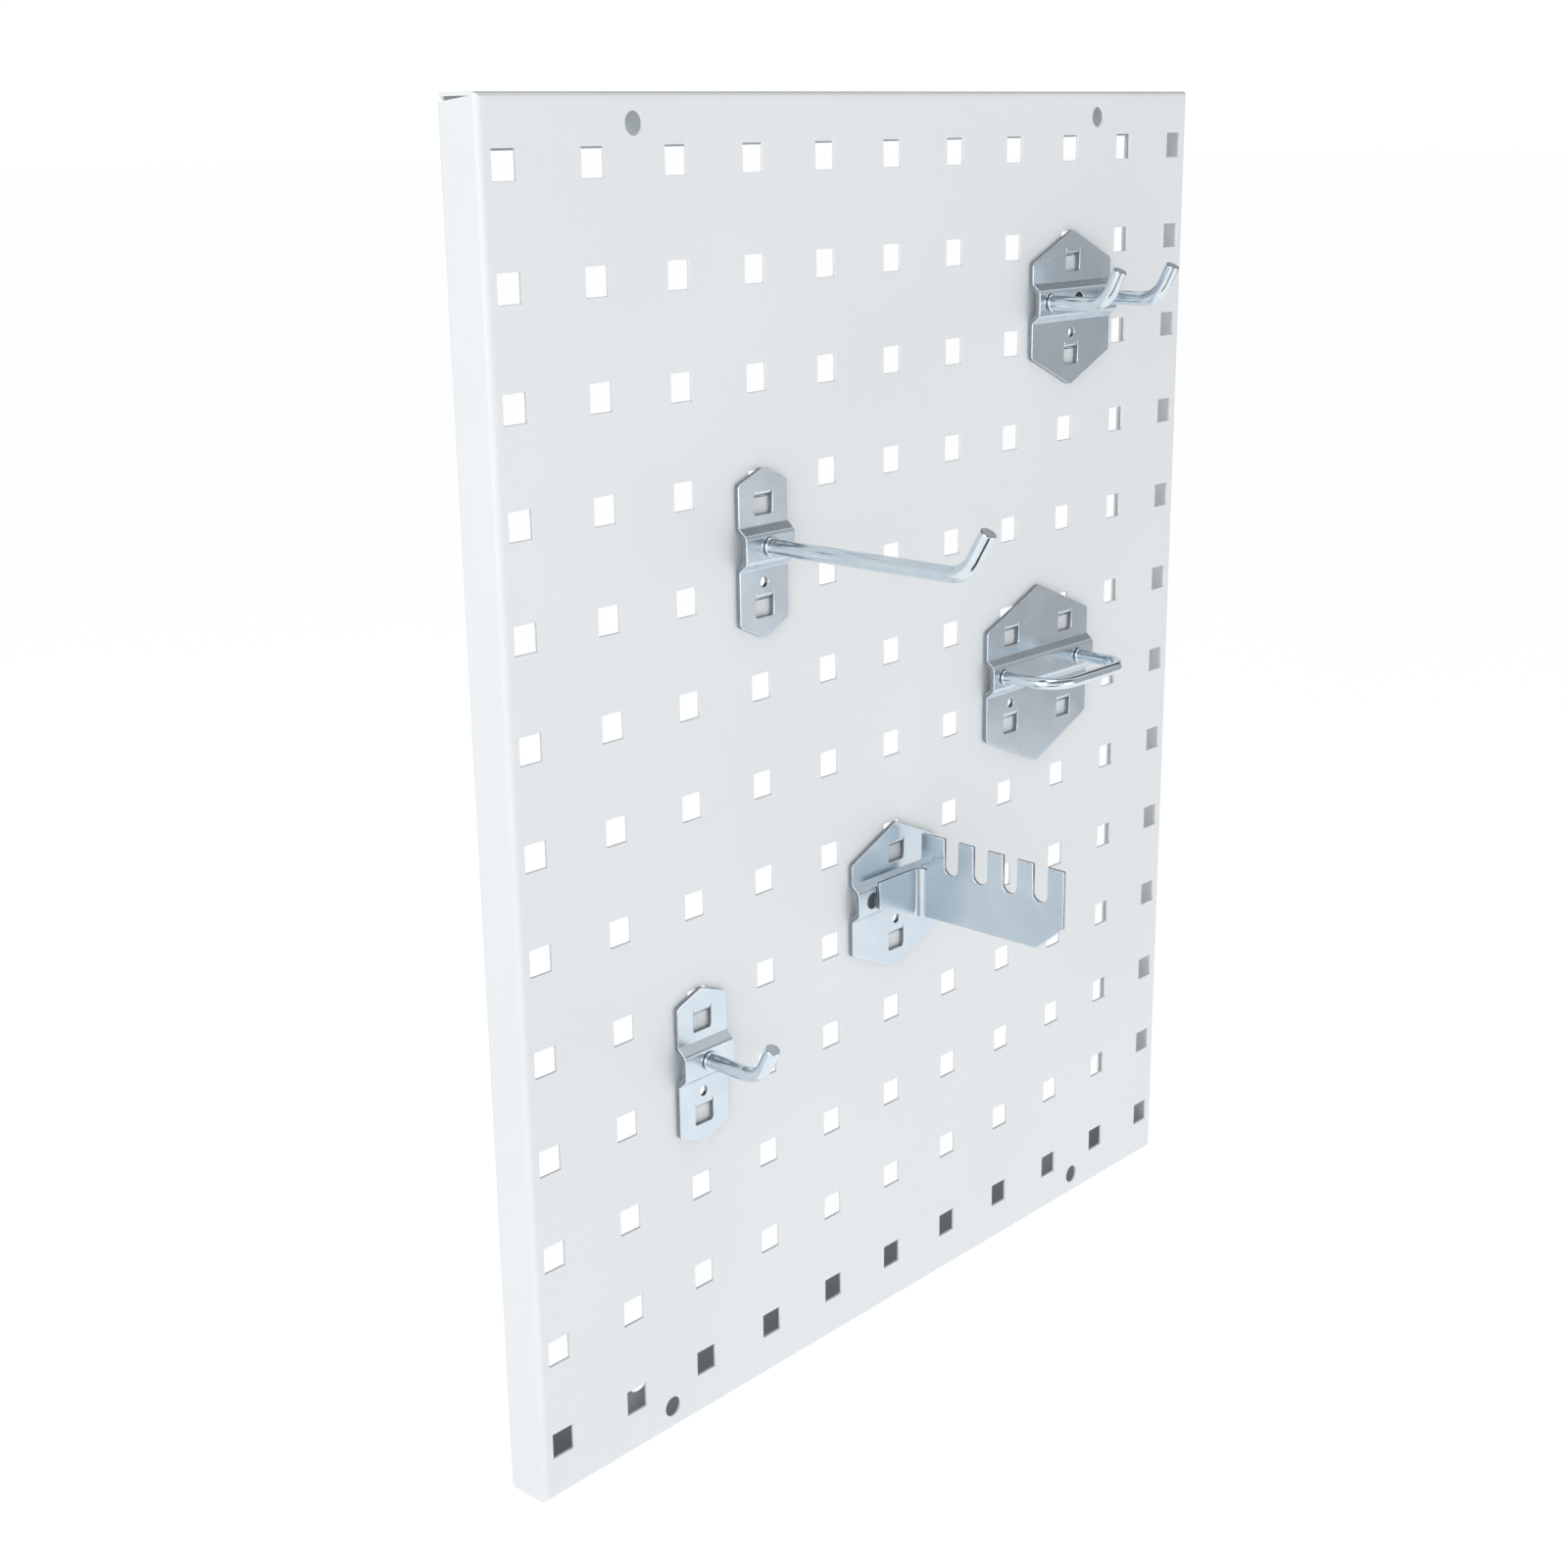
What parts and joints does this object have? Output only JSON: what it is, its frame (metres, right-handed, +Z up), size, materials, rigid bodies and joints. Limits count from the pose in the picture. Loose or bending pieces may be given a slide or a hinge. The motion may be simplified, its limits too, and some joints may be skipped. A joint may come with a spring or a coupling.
{
  "type": "pegboard tool wall",
  "caption": "Wall-hung perforated sheet-steel tool board with square holes, carrying zinc-plated lift-off hooks, a loop holder and a slotted rack.",
  "frame": {"origin": "centre of the board's outline in the wall plane, where its return lips lie on the wall", "axes": "+X to the right seen from the room, +Y into the wall, +Z up; the perforated face looks along -Y"},
  "size_m": [0.4, 0.1274, 0.5],
  "materials": {
    "powder_coated_steel": "light grey powder coat, semi-matt, fine texture",
    "zinc_plated_steel": "bright blue-white zinc plating, glossy on the rods and softly mottled on the flat plates"
  },
  "bodies": {
    "board": {"perforated_board": "powder_coated_steel"},
    "double_hook": {"double_hook_plate": "zinc_plated_steel", "double_hook_left_prong": "zinc_plated_steel", "double_hook_right_prong": "zinc_plated_steel"},
    "long_hook": {"long_hook_plate": "zinc_plated_steel", "long_hook_prong": "zinc_plated_steel"},
    "loop_holder": {"loop_holder_plate": "zinc_plated_steel", "loop_holder_rod": "zinc_plated_steel"},
    "slot_rack": {"slot_rack_plate": "zinc_plated_steel", "slot_rack_arm": "zinc_plated_steel"},
    "short_hook": {"short_hook_plate": "zinc_plated_steel", "short_hook_prong": "zinc_plated_steel"}
  },
  "joints": [
    {"name": "double_hook_lift", "type": "slide", "parent": "board", "child": "double_hook", "axis": [0, 0, 1], "range_m": [0, 0.006]},
    {"name": "long_hook_lift", "type": "slide", "parent": "board", "child": "long_hook", "axis": [0, 0, 1], "range_m": [0, 0.006]},
    {"name": "loop_holder_lift", "type": "slide", "parent": "board", "child": "loop_holder", "axis": [0, 0, 1], "range_m": [0, 0.006]},
    {"name": "slot_rack_lift", "type": "slide", "parent": "board", "child": "slot_rack", "axis": [0, 0, 1], "range_m": [0, 0.006]},
    {"name": "short_hook_lift", "type": "slide", "parent": "board", "child": "short_hook", "axis": [0, 0, 1], "range_m": [0, 0.006]}
  ]
}
